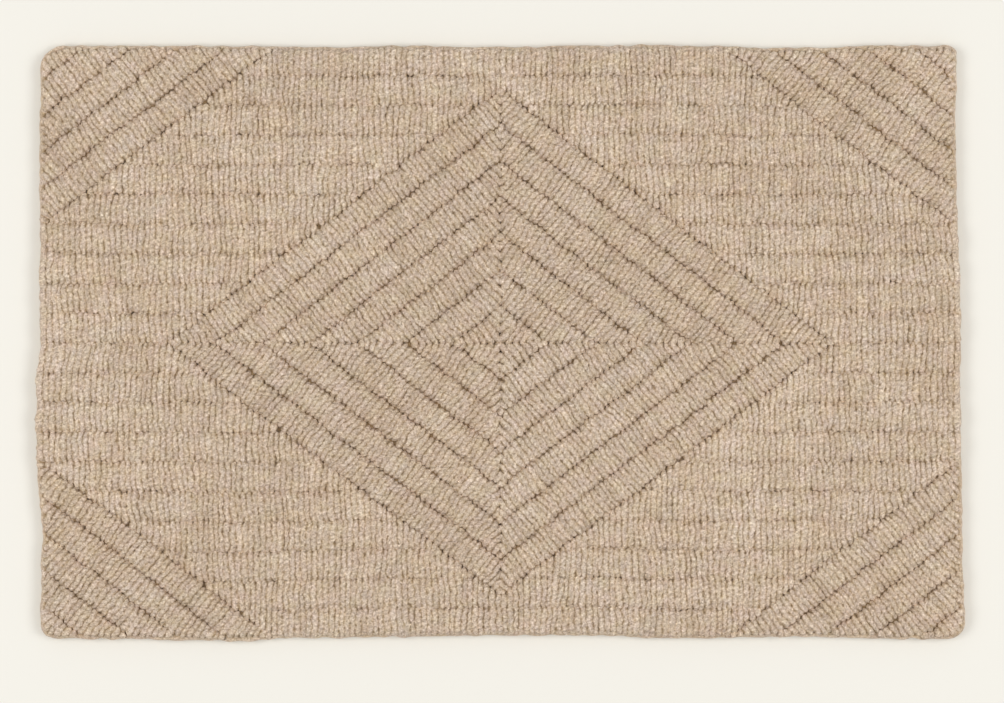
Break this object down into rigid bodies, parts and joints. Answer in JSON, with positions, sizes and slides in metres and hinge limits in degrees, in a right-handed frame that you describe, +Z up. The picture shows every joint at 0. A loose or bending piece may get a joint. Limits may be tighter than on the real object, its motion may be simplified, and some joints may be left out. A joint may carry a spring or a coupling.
{
  "type": "doormat",
  "caption": "Rectangular wool doormat with a ribbed loop pile, softly rounded rim and slightly uneven hand-made edges, lying flat.",
  "frame": {"origin": "on the floor, under the middle of the mat's box", "axes": "+X along the mat's length, +Y across its width, +Z up out of the pile"},
  "size_m": [0.7068, 0.4536, 0.014],
  "materials": {
    "wool_pile": "undyed beige wool loop pile, matte and slightly fuzzy"
  },
  "bodies": {
    "root": {"mat": "wool_pile"}
  },
  "joints": []
}
